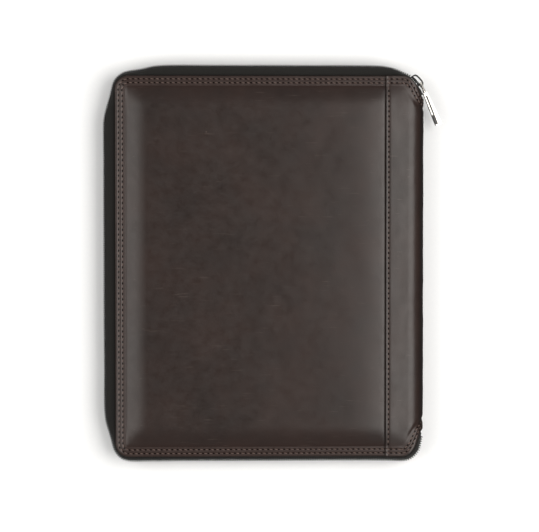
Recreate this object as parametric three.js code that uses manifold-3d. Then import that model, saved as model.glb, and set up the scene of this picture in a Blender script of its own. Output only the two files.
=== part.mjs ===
// Zip-around leather document case, closed and lying on its back cover.
// Millimetres. +X points to the spine, +Y to the top edge, +Z up; the origin is the middle of the underside.
import * as THREE from 'three';
import { mergeVertices } from 'three/addons/utils/BufferGeometryUtils.js';
import Module from 'manifold-3d';

const wasm = await Module();
wasm.setup();

// Leather covers: outline, depth and wall
const coverWidth = 266.2;
const coverHeight = 328.7;
const caseDepth = 32;
const cornerRadius = 12;
const panelWall = 3;
const borderWidth = 8.6;
const shoulderWidth = 20;
const borderDrop = 5;
const frontCrownDrop = 0.4;
const seamEaseFront = 62;
const seamEaseBack = 26;

// Spine strip that overlaps both covers and wraps round the right edge
const spineFace = 33.4;
const spineWall = 1.8;
const spineUnderlap = 10;
const foldReach = 14;
const notchWidth = 17.2;
const notchDepthTop = 19.3;
const notchDepthBottom = 23;

// Zip gusset: two woven tapes that carry the coil
const gussetBulge = 10.4;
const tapeWall = 0.9;
const tapeFlange = 7.6;
const coilWidth = 5.6;
const coilThickness = 1.8;

// Slider with its arched bridge
const sliderLength = 12.8;
const sliderPlateWidth = 9.2;
const sliderPlateWall = 1.1;
const sliderTurn = THREE.MathUtils.degToRad(-47);
const bridgeWidth = 3.2;
const bridgeWall = 1.1;
const bridgeHole = 2.8;

// Pull tab
const pullLength = 39.5;
const pullWidth = 6.2;
const pullNeckWidth = 3.8;
const pullWall = 1.9;
const pullPinRadius = 0.65;
const pullTurn = THREE.MathUtils.degToRad(-66.3);
const pullLean = THREE.MathUtils.degToRad(-20);
const pullWindow = 5.7;
const forkArm = 1.1;
const forkWall = 1.5;

const gap = 0.3;

// Lines that several pieces share
const leftX = -coverWidth / 2;
const spineX = coverWidth / 2;
const topY = coverHeight / 2;
const bottomY = -coverHeight / 2;
const midZ = caseDepth / 2;
const seamX = spineX - spineFace;
const panelEndX = seamX + spineUnderlap;
const foldX = spineX - foldReach;
const notchX = spineX - notchWidth;
const borderHeight = midZ - borderDrop;
const seamHeight = midZ - spineWall - gap;
const crownHeight = midZ - frontCrownDrop;
const tapeEdgeHeight = coilWidth / 2 + gap;

// The end of the spine strip is cut away along this line.
// across: share of the notch width, from the spine inward; along: share of the notch depth, toward the edge.
const notchLine = [
  { across: 0, along: 0 },
  { across: 0.06, along: 0.03 },
  { across: 0.145, along: 0.13 },
  { across: 0.227, along: 0.25 },
  { across: 0.335, along: 0.44 },
  { across: 0.42, along: 0.6 },
  { across: 0.5, along: 0.705 },
  { across: 0.68, along: 0.865 },
  { across: 0.83, along: 0.95 },
  { across: 1, along: 1 },
];

// How far the zip stands out past the leather, as a share of the gusset bulge, at shares of each side.
const topBulge = [
  { along: 0, bulge: 0.2 },
  { along: 0.033, bulge: 0.52 },
  { along: 0.06, bulge: 0.67 },
  { along: 0.09, bulge: 0.75 },
  { along: 0.15, bulge: 0.77 },
  { along: 0.32, bulge: 0.78 },
  { along: 0.5, bulge: 0.78 },
  { along: 0.68, bulge: 0.78 },
  { along: 0.85, bulge: 0.78 },
  { along: 0.91, bulge: 0.7 },
  { along: 0.94, bulge: 0.54 },
  { along: 0.97, bulge: 0.4 },
  { along: 1, bulge: 0.31 },
];
const leftBulge = [
  { along: 0, bulge: 0.22 },
  { along: 0.02, bulge: 0.37 },
  { along: 0.042, bulge: 0.55 },
  { along: 0.06, bulge: 0.7 },
  { along: 0.078, bulge: 0.82 },
  { along: 0.104, bulge: 0.88 },
  { along: 0.2, bulge: 0.87 },
  { along: 0.35, bulge: 0.87 },
  { along: 0.5, bulge: 0.86 },
  { along: 0.65, bulge: 0.86 },
  { along: 0.8, bulge: 0.84 },
  { along: 0.9, bulge: 0.84 },
  { along: 0.94, bulge: 0.72 },
  { along: 0.96, bulge: 0.56 },
  { along: 0.98, bulge: 0.38 },
  { along: 1, bulge: 0.22 },
];
const bottomBulge = [
  { along: 0, bulge: 0.33 },
  { along: 0.06, bulge: 0.33 },
  { along: 0.2, bulge: 0.31 },
  { along: 0.4, bulge: 0.31 },
  { along: 0.6, bulge: 0.31 },
  { along: 0.8, bulge: 0.31 },
  { along: 0.95, bulge: 0.34 },
  { along: 1, bulge: 0.38 },
];
const panelEndBulge = { top: 0.44, bottom: 0.36 };
const topCornerBulge = [0.25, 0.21, 0.2];
const bottomCornerBulge = [0.19, 0.22, 0.29];

// Where the closed zip line passes the upper notch: shares of the slider length from the slider's middle,
// how far it is drawn in as a share of the gusset bulge, and the height of the tape edge above the middle plane
// as a share of its height beside the coil.
const sliderStations = [
  { notch: 2, along: 0.9, inward: 0.12, rise: 0.3 },
  { notch: 3, along: 0.72, inward: 0.07, rise: 0.6 },
  { notch: 4, along: 0.43, inward: 0, rise: 0.9 },
  { notch: 5, along: 0.195, inward: 0, rise: 1 },
  { notch: 6, along: -0.02, inward: 0, rise: 1 },
  { notch: 7, along: -0.36, inward: 0, rise: 1 },
  { notch: 8, along: -0.64, inward: 0, rise: 1 },
];
const lowerNotchStations = [
  { notch: 8, bulge: 0.46, rise: 1 },
  { notch: 7, bulge: 0.5, rise: 1 },
  { notch: 6, bulge: 0.5, rise: 1 },
  { notch: 5, bulge: 0.44, rise: 1 },
  { notch: 4, bulge: 0.36, rise: 0.9 },
  { notch: 3, bulge: 0.27, rise: 0.6 },
  { notch: 2, bulge: 0.2, rise: 0.3 },
];
const notchFlange = 0.6;

const sliderX = spineX - 0.4 * notchWidth;
const sliderY = topY - 0.31 * notchDepthTop;

function clamp01(value) {
  return Math.min(1, Math.max(0, value));
}

function mix(a, b, share) {
  return a + (b - a) * share;
}

// Rise of the padding from the stitched border (0) to the face (1).
function padding(distance) {
  return Math.sin(clamp01((distance - borderWidth) / shoulderWidth) * Math.PI / 2);
}

function endPadding(y) {
  return padding(topY - y) * padding(y - bottomY);
}

// Height of a cover's outer face above the middle plane.
function coverHeightAt(x, y, face, seamEase) {
  const toSeam = clamp01((x - (seamX - seamEase)) / seamEase);
  const level = mix(face, seamHeight, toSeam * toSeam * (3 - 2 * toSeam));
  return mix(borderHeight, level, padding(x - leftX) * endPadding(y));
}

function volumeOf(positions, index) {
  let volume = 0;
  const a = new THREE.Vector3();
  const b = new THREE.Vector3();
  const c = new THREE.Vector3();
  for (let i = 0; i < index.length; i += 3) {
    a.fromArray(positions, index[i] * 3);
    b.fromArray(positions, index[i + 1] * 3);
    c.fromArray(positions, index[i + 2] * 3);
    volume += a.dot(b.cross(c));
  }
  return volume;
}

function solidGeometry(positions, index) {
  if (volumeOf(positions, index) < 0) {
    index.reverse();
  }
  const geometry = new THREE.BufferGeometry();
  geometry.setAttribute('position', new THREE.Float32BufferAttribute(positions, 3));
  geometry.setIndex(index);
  geometry.computeVertexNormals();
  return geometry;
}

// A sheet between two grids of points, closed round its edge.
function sheetSolid(outer, inner) {
  const rows = outer.length;
  const columns = outer[0].length;
  const positions = [];
  for (const grid of [outer, inner]) {
    for (const point of grid.flat()) {
      positions.push(point.x, point.y, point.z);
    }
  }
  const index = [];
  const innerStart = rows * columns;
  const quad = (a, b, c, d) => index.push(a, b, c, a, c, d);
  for (let row = 0; row < rows - 1; row += 1) {
    for (let column = 0; column < columns - 1; column += 1) {
      const a = row * columns + column;
      quad(a, a + 1, a + columns + 1, a + columns);
      const b = innerStart + a;
      quad(b, b + columns, b + columns + 1, b + 1);
    }
  }
  const edge = [];
  for (let column = 0; column < columns - 1; column += 1) {
    edge.push(column);
  }
  for (let row = 0; row < rows - 1; row += 1) {
    edge.push(row * columns + columns - 1);
  }
  for (let column = columns - 1; column > 0; column -= 1) {
    edge.push((rows - 1) * columns + column);
  }
  for (let row = rows - 1; row > 0; row -= 1) {
    edge.push(row * columns);
  }
  edge.forEach((current, place) => {
    const next = edge[(place + 1) % edge.length];
    quad(next, current, innerStart + current, innerStart + next);
  });
  return solidGeometry(positions, index);
}

// A rod through a list of equal convex rings.
function rodSolid(rings) {
  const sides = rings[0].length;
  const positions = rings.flat().flatMap((point) => [point.x, point.y, point.z]);
  const index = [];
  for (let ring = 0; ring < rings.length - 1; ring += 1) {
    for (let side = 0; side < sides; side += 1) {
      const a = ring * sides + side;
      const b = ring * sides + (side + 1) % sides;
      index.push(a, b, b + sides, a, b + sides, a + sides);
    }
  }
  const last = (rings.length - 1) * sides;
  for (let side = 1; side < sides - 1; side += 1) {
    index.push(0, side + 1, side);
    index.push(last, last + side, last + side + 1);
  }
  return solidGeometry(positions, index);
}

function toManifold(geometry) {
  const bare = geometry.clone();
  bare.deleteAttribute('normal');
  bare.deleteAttribute('uv');
  const merged = mergeVertices(bare, 1e-4);
  return new wasm.Manifold(new wasm.Mesh({
    numProp: 3,
    vertProperties: merged.attributes.position.array,
    triVerts: new Uint32Array(merged.index.array),
  }));
}

function joined(geometries) {
  const whole = geometries.map(toManifold).reduce((sum, next) => sum.add(next));
  const mesh = whole.getMesh();
  return solidGeometry(Array.from(mesh.vertProperties), Array.from(mesh.triVerts));
}

// Distances from an edge at which the covers and the spine strip are sampled: round corner first, then shoulder.
function edgeInsets() {
  const insets = [];
  for (let step = 6; step >= 0; step -= 1) {
    insets.push(cornerRadius * (1 - Math.sin(step * Math.PI / 12)));
  }
  for (const share of [0.25, 0.45, 0.7, 1]) {
    insets.push(mix(cornerRadius, borderWidth + shoulderWidth, share));
  }
  return insets;
}

// Row positions along Y between two ends, close together near each end.
function rowsBetween(low, high, middleRows) {
  const insets = edgeInsets();
  const reach = insets[insets.length - 1];
  const rows = insets.map((inset) => low + inset);
  for (let row = 1; row < middleRows; row += 1) {
    rows.push(mix(low + reach, high - reach, row / middleRows));
  }
  return rows.concat(insets.toReversed().map((inset) => high - inset));
}

function cornerInset(y) {
  const past = Math.max(0, y - (topY - cornerRadius), bottomY + cornerRadius - y);
  return cornerRadius - Math.sqrt(Math.max(0, cornerRadius ** 2 - past ** 2));
}

function coverGrid(outerHeight, side) {
  const rows = rowsBetween(bottomY, topY, 8);
  const insets = edgeInsets();
  const reach = insets[insets.length - 1];
  return rows.map((y) => {
    const startX = leftX + cornerInset(y);
    const xs = insets.map((inset) => startX + inset);
    for (const share of [0.2, 0.4, 0.6]) {
      xs.push(mix(leftX + reach, seamX, share));
    }
    xs.push(seamX - seamEaseBack, seamX - seamEaseBack / 2, seamX, panelEndX);
    return xs.map((x) => new THREE.Vector3(x, y, midZ + side * outerHeight(x, y)));
  });
}

function coverPanel(face, seamEase, side) {
  const outerHeight = (x, y) => coverHeightAt(x, y, face, seamEase);
  const innerHeight = (x, y) => outerHeight(x, y) - panelWall;
  return sheetSolid(coverGrid(outerHeight, side), coverGrid(innerHeight, side));
}

// Share of the notch depth at which the strip ends, for a place x on the strip.
function notchAlong(x) {
  const across = clamp01((spineX - x) / notchWidth);
  const next = Math.max(1, notchLine.findIndex((row) => row.across >= across));
  const a = notchLine[next - 1];
  const b = notchLine[next];
  return mix(a.along, b.along, (across - a.across) / (b.across - a.across));
}

// Height of the strip's outer face above the middle plane on its flat part.
function stripHeight(y) {
  return mix(borderHeight, seamHeight, endPadding(y)) + gap + spineWall;
}

// Point of the strip's section, inset from its outer face. share runs from the seam (0) to the spine (1).
function stripPoint(place, y, inset, side) {
  const height = stripHeight(y) - inset;
  if (place.x !== undefined) {
    return new THREE.Vector3(place.x, y, midZ + side * height);
  }
  const reach = foldReach - inset;
  const x = foldX + reach * Math.sin(place.angle);
  return new THREE.Vector3(x, y, midZ + side * height * Math.cos(place.angle));
}

function spineStrip() {
  const half = [{ x: seamX }, { x: mix(seamX, panelEndX, 0.5) }, { x: panelEndX + 1 }, { x: notchX }];
  for (let step = 0; step < 8; step += 1) {
    half.push({ angle: step * Math.PI / 16 });
  }
  const section = half.map((place) => ({ place, side: 1 }));
  section.push({ place: { angle: Math.PI / 2 }, side: 1 });
  section.push(...half.toReversed().map((place) => ({ place, side: -1 })));
  const grids = [0, spineWall].map((inset) => section.map(({ place, side }) => {
    const edgeX = place.x ?? foldX + foldReach * Math.sin(place.angle);
    const along = notchAlong(edgeX);
    const low = bottomY + notchDepthBottom * (1 - along);
    const high = topY - notchDepthTop * (1 - along);
    return rowsBetween(low, high, 8).map((y) => stripPoint(place, y, inset, side));
  }));
  return sheetSolid(grids[0], grids[1]);
}

// Underside of the leather at a place on its edge, above the middle plane.
function leatherUnderside(x, y) {
  const overPanel = borderHeight - panelWall;
  if (x <= panelEndX) {
    return overPanel;
  }
  const reach = foldReach - spineWall;
  const turned = clamp01((x - foldX) / reach);
  const underStrip = (stripHeight(y) - spineWall) * Math.sqrt(1 - turned ** 2);
  const past = clamp01((x - panelEndX - gap) / (notchX - panelEndX));
  return Math.min(underStrip, mix(overPanel, borderHeight + gap, past));
}

function notchPoint(row, high) {
  const depth = high ? notchDepthTop : notchDepthBottom;
  const x = spineX - notchLine[row].across * notchWidth;
  const inset = depth * (1 - notchLine[row].along);
  return new THREE.Vector2(x, high ? topY - inset : bottomY + inset);
}

const sliderAlong = new THREE.Vector2(Math.cos(sliderTurn), Math.sin(sliderTurn));
const sliderOut = new THREE.Vector2(-sliderAlong.y, sliderAlong.x);
const sliderMiddle = new THREE.Vector2(sliderX, sliderY);

// Stations round the zip, from the upper notch over the top, left and bottom sides to the lower notch.
// edge: leather edge; out: direction away from the case; zip: the zip line; rise: tape edge height share.
function zipStations() {
  const stations = [];
  for (const row of sliderStations) {
    const zip = sliderMiddle.clone().addScaledVector(sliderAlong, row.along * sliderLength);
    zip.addScaledVector(sliderOut, -row.inward * gussetBulge);
    stations.push({ edge: notchPoint(row.notch, true), out: sliderOut.clone(), zip, rise: row.rise });
  }
  const add = (x, y, outX, outY, bulge, rise = 1) => {
    const out = new THREE.Vector2(outX, outY).normalize();
    const edge = new THREE.Vector2(x, y);
    const zip = edge.clone().addScaledVector(out, bulge * gussetBulge);
    stations.push({ edge, out, zip, rise });
  };
  for (const row of topBulge) {
    add(mix(notchX, leftX + cornerRadius, row.along), topY, 0, 1, row.bulge);
    if (row.along === 0) {
      add(panelEndX + gap, topY, 0, 1, panelEndBulge.top);
    }
  }
  topCornerBulge.forEach((bulge, place) => {
    const angle = Math.PI / 2 + (place + 1) * Math.PI / 8;
    const x = leftX + cornerRadius + cornerRadius * Math.cos(angle);
    const y = topY - cornerRadius + cornerRadius * Math.sin(angle);
    add(x, y, Math.cos(angle), Math.sin(angle), bulge);
  });
  for (const row of leftBulge) {
    add(leftX, mix(topY - cornerRadius, bottomY + cornerRadius, row.along), -1, 0, row.bulge);
  }
  bottomCornerBulge.forEach((bulge, place) => {
    const angle = Math.PI + (place + 1) * Math.PI / 8;
    const x = leftX + cornerRadius + cornerRadius * Math.cos(angle);
    const y = bottomY + cornerRadius + cornerRadius * Math.sin(angle);
    add(x, y, Math.cos(angle), Math.sin(angle), bulge);
  });
  for (const row of bottomBulge) {
    if (row.along === 1) {
      add(panelEndX + gap, bottomY, 0, -1, panelEndBulge.bottom);
    }
    add(mix(leftX + cornerRadius, notchX, row.along), bottomY, 0, -1, row.bulge);
  }
  for (const row of lowerNotchStations) {
    const edge = notchPoint(row.notch, false);
    const before = notchPoint(row.notch - 1, false);
    const after = notchPoint(row.notch + 1, false);
    add(edge.x, edge.y, before.y - after.y, after.x - before.x, row.bulge, row.rise);
  }
  return stations;
}

// Section of one tape: share of the way from leather edge to zip line, and share of the drop to the tape edge.
const tapeSection = [
  { outward: 0.28, drop: 0.12 },
  { outward: 0.55, drop: 0.3 },
  { outward: 0.8, drop: 0.56 },
  { outward: 0.96, drop: 0.8 },
  { outward: 1, drop: 1 },
];

function tapeLine(station, side) {
  const { edge, out, zip, rise } = station;
  const onNotch = edge.x > notchX + gap;
  const flange = tapeFlange * (onNotch ? notchFlange : 1);
  const start = leatherUnderside(edge.x, edge.y) - gap - tapeWall / 2;
  const end = tapeEdgeHeight * rise + tapeWall / 2;
  const points = [];
  for (const inset of [flange, 0.6]) {
    points.push(new THREE.Vector3(edge.x - out.x * inset, edge.y - out.y * inset, start));
  }
  for (const { outward, drop } of tapeSection) {
    const x = mix(edge.x, zip.x, outward);
    const y = mix(edge.y, zip.y, outward);
    points.push(new THREE.Vector3(x, y, Math.min(start, mix(start, end, drop))));
  }
  return points.map((point) => new THREE.Vector3(point.x, point.y, midZ + side * point.z));
}

function zipTape(stations, side) {
  const outer = [];
  const inner = [];
  for (const station of stations) {
    const line = tapeLine(station, side);
    const out = new THREE.Vector3(station.out.x, station.out.y, 0);
    const across = new THREE.Vector3().crossVectors(out, new THREE.Vector3(0, 0, side));
    const faces = line.map((point, place) => {
      const before = line[Math.max(0, place - 1)];
      const after = line[Math.min(line.length - 1, place + 1)];
      const direction = after.clone().sub(before);
      direction.addScaledVector(across, -direction.dot(across));
      return new THREE.Vector3().crossVectors(across, direction).normalize();
    });
    outer.push(line.map((point, place) => point.clone().addScaledVector(faces[place], tapeWall / 2)));
    inner.push(line.map((point, place) => point.clone().addScaledVector(faces[place], -tapeWall / 2)));
  }
  return sheetSolid(outer, inner);
}

// The closed coil ends inside the slider and at the lower notch.
function zipCoil(stations) {
  const first = stations.findIndex((station) => station.zip.clone().sub(sliderMiddle).dot(sliderAlong) < 0);
  const line = stations.slice(first, -3).map((station) => station.zip);
  const rings = line.map((point, place) => {
    const before = line[Math.max(0, place - 1)];
    const after = line[Math.min(line.length - 1, place + 1)];
    const along = after.clone().sub(before).normalize();
    const out = new THREE.Vector2(along.y, -along.x);
    const ring = [];
    for (let side = 0; side < 8; side += 1) {
      const angle = (side + 0.5) * Math.PI / 4;
      const offset = Math.sign(Math.cos(angle)) * Math.abs(Math.cos(angle)) ** 0.5 * coilThickness / 2;
      const height = Math.sin(angle) / Math.cos(Math.PI / 8) * coilWidth / 2;
      ring.push(new THREE.Vector3(point.x + out.x * offset, point.y + out.y * offset, midZ + height));
    }
    return ring;
  });
  return rodSolid(rings);
}

// Slider in its own frame: X along the zip, Y away from the case, Z up, origin on the zip line.
const channel = coilThickness / 2 + gap;
const plateTop = channel + sliderPlateWall;
const bridgeTop = plateTop + bridgeHole + bridgeWall;

// Outline of the slider's plates: along in half lengths, half width in half plate widths.
const outerPlateOutline = [
  { along: -1, width: 0.45 },
  { along: -0.8, width: 0.8 },
  { along: -0.45, width: 1 },
  { along: 0.12, width: 1 },
  { along: 0.4, width: 0.8 },
  { along: 0.56, width: 0.38 },
  { along: 1, width: 0.34 },
];
const innerPlateOutline = [
  { along: -1, width: 0.5 },
  { along: -0.8, width: 0.85 },
  { along: -0.45, width: 1 },
  { along: 0.3, width: 1 },
  { along: 0.7, width: 0.9 },
  { along: 0.9, width: 0.6 },
];
// Bridge line: along in half lengths, rise as a share of the bridge height above the plate.
const bridgeLine = [
  { along: -0.97, rise: 0 },
  { along: -0.95, rise: 0.42 },
  { along: -0.82, rise: 0.78 },
  { along: -0.56, rise: 0.96 },
  { along: -0.1, rise: 1 },
  { along: 0.36, rise: 0.97 },
  { along: 0.68, rise: 0.82 },
  { along: 0.9, rise: 0.48 },
  { along: 0.97, rise: 0 },
];

function plateSolid(outline, fromY, toY) {
  const half = sliderLength / 2;
  const wide = sliderPlateWidth / 2;
  const shape = new THREE.Shape();
  outline.forEach(({ along, width }, place) => {
    if (place === 0) {
      shape.moveTo(along * half, width * wide);
    } else {
      shape.lineTo(along * half, width * wide);
    }
  });
  outline.toReversed().forEach(({ along, width }) => shape.lineTo(along * half, -width * wide));
  shape.closePath();
  const geometry = new THREE.ExtrudeGeometry(shape, { depth: toY - fromY, bevelEnabled: false });
  return geometry.rotateX(Math.PI / 2).translate(0, toY, 0);
}

function bridgeSolid() {
  const half = sliderLength / 2;
  const height = bridgeTop - plateTop;
  const outer = bridgeLine.map(({ along, rise }) => new THREE.Vector2(along * half, plateTop + rise * height));
  const innerHalf = half * 0.97 - bridgeWall;
  const inner = bridgeLine.map(({ along, rise }) => {
    const x = along / 0.97 * innerHalf;
    return new THREE.Vector2(x, plateTop + rise * bridgeHole);
  });
  const foot = sliderPlateWall / 2;
  outer[0].y -= foot;
  outer[outer.length - 1].y -= foot;
  inner[0].y -= foot;
  inner[inner.length - 1].y -= foot;
  const shape = new THREE.Shape(outer.concat(inner.toReversed()));
  const geometry = new THREE.ExtrudeGeometry(shape, { depth: bridgeWidth, bevelEnabled: false });
  return geometry.translate(0, 0, -bridgeWidth / 2);
}

function sliderBody() {
  const postWidth = 2.4;
  const postDepth = 2 * channel + sliderPlateWall;
  const post = new THREE.BoxGeometry(sliderLength * 0.2, postDepth, postWidth);
  post.translate(sliderLength * 0.22, 0, 0);
  return joined([
    plateSolid(outerPlateOutline, channel, plateTop),
    plateSolid(innerPlateOutline, -plateTop, -channel),
    post,
    bridgeSolid(),
  ]);
}

// Pull tab in its own frame: X along the tab from its pin, Y across the fork's thickness, Z along the pin.
const pinAlong = sliderLength * 0.25;
const pinOut = plateTop + bridgeHole * 0.44;
const forkInside = bridgeWidth / 2 + gap + 0.2;
const forkOutside = forkInside + forkArm;

function box(fromX, toX, sizeY, sizeZ, middleZ = 0) {
  const geometry = new THREE.BoxGeometry(toX - fromX, sizeY, sizeZ);
  return geometry.translate((fromX + toX) / 2, 0, middleZ);
}

function tabOutline() {
  const start = pullLength * 0.23;
  const slotStart = pullLength * 0.3;
  const slotEnd = pullLength * 0.76;
  const rail = 1;
  const slotWidth = 1.6;
  const halfAt = (x) => mix(pullNeckWidth, pullWidth, (x - start) / (pullLength - start)) / 2;
  const round = pullWidth * 0.14;
  const shape = new THREE.Shape();
  shape.moveTo(start, -halfAt(start));
  shape.lineTo(pullLength - round, -halfAt(pullLength));
  shape.lineTo(pullLength, -halfAt(pullLength) + round);
  shape.lineTo(pullLength, halfAt(pullLength) - round);
  shape.lineTo(pullLength - round, halfAt(pullLength));
  shape.lineTo(start, halfAt(start));
  shape.closePath();
  const slot = new THREE.Path();
  slot.moveTo(slotStart, rail - halfAt(slotStart));
  slot.lineTo(slotStart, rail + slotWidth - halfAt(slotStart));
  slot.lineTo(slotEnd, rail + slotWidth - halfAt(slotEnd));
  slot.lineTo(slotEnd, rail - halfAt(slotEnd));
  slot.closePath();
  shape.holes.push(slot);
  return shape;
}

function pullTab() {
  const armMiddle = (forkInside + forkOutside) / 2;
  const crossStart = pullWindow;
  const crossEnd = pullWindow + 2;
  const tab = new THREE.ExtrudeGeometry(tabOutline(), { depth: pullWall, bevelEnabled: false });
  tab.translate(0, 0, -pullWall / 2).rotateX(pullLean);
  const block = box(pullLength * 0.8, pullLength - 1, pullWidth * 0.72, pullWall * 1.45).rotateX(pullLean);
  const neck = new THREE.CylinderGeometry(forkWall * 0.8, forkWall * 0.8, pullLength * 0.24 - crossStart - 0.6, 12);
  neck.rotateZ(Math.PI / 2).translate((pullLength * 0.24 + crossStart + 0.6) / 2, 0, 0);
  const pin = new THREE.CylinderGeometry(pullPinRadius, pullPinRadius, 2 * armMiddle, 12).rotateX(Math.PI / 2);
  const armStart = -pullPinRadius * 0.9;
  return joined([
    box(armStart, crossEnd, forkWall, forkArm, armMiddle),
    box(armStart, crossEnd, forkWall, forkArm, -armMiddle),
    box(crossStart, crossEnd, forkWall, 2 * armMiddle),
    pin,
    neck,
    tab,
    block,
  ]);
}

const leather = new THREE.MeshStandardMaterial({ color: '#3e3835', roughness: 0.48, metalness: 0 });
const wovenTape = new THREE.MeshStandardMaterial({ color: '#2c2c2b', roughness: 0.85, metalness: 0 });
const nylonCoil = new THREE.MeshStandardMaterial({ color: '#0c0c0c', roughness: 0.5, metalness: 0 });
const lacquer = new THREE.MeshStandardMaterial({ color: '#1b1b1a', roughness: 0.3, metalness: 0 });
const nickel = new THREE.MeshStandardMaterial({ color: '#c9c9c7', roughness: 0.22, metalness: 1 });

const documentCase = new THREE.Group();

function addPiece(name, geometry, material) {
  const mesh = new THREE.Mesh(geometry, material.clone());
  mesh.name = name;
  documentCase.add(mesh);
  return mesh;
}

const stations = zipStations();
addPiece('front_panel', coverPanel(crownHeight, seamEaseFront, 1), leather);
addPiece('back_panel', coverPanel(midZ, seamEaseBack, -1), leather);
addPiece('spine_panel', spineStrip(), leather);
addPiece('zip_tape_front', zipTape(stations, 1), wovenTape);
addPiece('zip_tape_back', zipTape(stations, -1), wovenTape);
addPiece('zip_coil', zipCoil(stations), nylonCoil);

const slider = addPiece('slider_body', sliderBody(), lacquer);
slider.position.set(sliderX, sliderY, midZ);
slider.rotation.z = sliderTurn;

const pull = addPiece('pull_tab', pullTab(), nickel);
const pin = sliderMiddle.clone().addScaledVector(sliderAlong, pinAlong).addScaledVector(sliderOut, pinOut);
pull.position.set(pin.x, pin.y, midZ);
pull.rotation.z = pullTurn;

export default documentCase;
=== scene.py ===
"""Zip-around leather document case, lying on its back cover: its surfaces, stitching and zip."""

import math

import bmesh
import bpy
from mathutils import Matrix, Vector, noise


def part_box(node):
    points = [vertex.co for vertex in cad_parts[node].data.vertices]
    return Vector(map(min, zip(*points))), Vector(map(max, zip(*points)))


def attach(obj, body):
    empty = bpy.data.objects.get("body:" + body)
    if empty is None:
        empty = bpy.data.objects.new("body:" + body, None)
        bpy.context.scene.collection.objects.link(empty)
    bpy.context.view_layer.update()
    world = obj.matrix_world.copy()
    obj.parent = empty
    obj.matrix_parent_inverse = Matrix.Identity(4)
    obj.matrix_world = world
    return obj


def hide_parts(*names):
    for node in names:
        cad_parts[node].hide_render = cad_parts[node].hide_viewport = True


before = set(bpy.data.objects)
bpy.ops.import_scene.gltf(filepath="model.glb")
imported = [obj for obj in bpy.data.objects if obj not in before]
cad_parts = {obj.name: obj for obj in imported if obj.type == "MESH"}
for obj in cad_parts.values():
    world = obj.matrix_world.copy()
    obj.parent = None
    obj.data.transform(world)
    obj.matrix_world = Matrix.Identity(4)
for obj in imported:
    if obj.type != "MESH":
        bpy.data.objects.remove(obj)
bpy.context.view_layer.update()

bl_info = {
    "name": "Leather document case",
    "version": (1, 0, 0),
    "blender": (4, 5, 0),
    "location": "View3D > Sidebar > Case",
    "description": "Builds the leather, stitching, zip and metal of a zip-around document case",
    "category": "Add Mesh",
}

MM = 0.001

# Places taken from the fixed model
FRONT_LOW, FRONT_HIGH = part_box("front_panel")
SPINE_LOW, SPINE_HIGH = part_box("spine_panel")
LEFT = FRONT_LOW.x
TOP = FRONT_HIGH.y
BOTTOM = FRONT_LOW.y
PANEL_END = FRONT_HIGH.x
SEAM = SPINE_LOW.x
SPINE = SPINE_HIGH.x
MID = SPINE_HIGH.z / 2

# Leather sizes of the fixed model
CORNER = 12 * MM
PANEL_WALL = 3 * MM
BORDER = 8.6 * MM
SHOULDER = 20 * MM
BORDER_HEIGHT = MID - 5 * MM
CROWN_HEIGHT = MID - 0.4 * MM
SPINE_WALL = 1.8 * MM
GAP = 0.3 * MM
SEAM_HEIGHT = MID - SPINE_WALL - GAP
SEAM_EASE_FRONT = 62 * MM
SEAM_EASE_BACK = 26 * MM
FOLD_REACH = 14 * MM
FOLD = SPINE - FOLD_REACH
FOLD_RUN = 23.6 * MM
NOTCH_WIDTH = 17.2 * MM
NOTCH = SPINE - NOTCH_WIDTH
NOTCH_TOP = 19.3 * MM
NOTCH_BOTTOM = 23 * MM
STRIP_HALF = FOLD - SEAM + FOLD_RUN
STRIP_SINK = 1.55 * MM
FOLD_CLEARANCE = 0.4 * MM

# Relief of the leather: turned edges, grooves of the stitches, and dents as (depth, width)
COVER_TURN = 1.1 * MM
STRIP_TURN = 0.5 * MM
GROOVE_WIDTH = 0.75 * MM
SEAM_GROOVE_WIDTH = 0.8 * MM
BORDER_DENT = (0.35 * MM, 1.2 * MM)
SEAM_DENT = (0.25 * MM, 1.6 * MM)
# Share of the front cover's fall towards the seam that starts early
SEAM_EARLY = 0.35
# Warm, rubbed band along the stitched edges, and the fall beyond it
WARM_BAND = 7.5 * MM
WARM_FALL = 3.5 * MM

# Finely divided zones of a cover's grid, from each edge
BORDER_ZONE = 9.6 * MM
SHOULDER_ZONE = 30 * MM

# Stitch rows: end short of the seam, room at the strip's raw edge, start in pitches, step that finds a slope
ROW_END = 1.2 * MM
ROW_CLEAR = 0.8 * MM
ROW_START = 0.4
PROBE = 0.4 * MM
STITCH_SLANT = math.radians(-14)
# Needle hole, drawn as a disc of painted shade, half as long and half as wide, and its lift over the leather;
# lift of a thread in widths
HOLE_HALF = (0.85 * MM, 0.62 * MM)
HOLE_LIFT = 0.2 * MM
THREAD_LIFT = 0.12

# End of the spine strip: share of the notch width from the spine inward, share of the notch depth.
NOTCH_LINE = (
    (0, 0), (0.06, 0.03), (0.145, 0.13), (0.227, 0.25), (0.335, 0.44),
    (0.42, 0.6), (0.5, 0.705), (0.68, 0.865), (0.83, 0.95), (1, 1),
)

# Zip gusset
GUSSET_BULGE = 10.4 * MM
TAPE_FLANGE = 7.6 * MM
COIL_WIDTH = 5.6 * MM
COIL_DEPTH = 1.8 * MM
TOOTH_RISE = 1.35 * MM
TOOTH_SLANT = math.radians(2)
# Rows of teeth: start in pitches, side of the middle plane, place outward of the zip's line
TOOTH_ROWS = ((0.0, 1, 0.5 * MM), (0.5, -1, -0.4 * MM))
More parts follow.
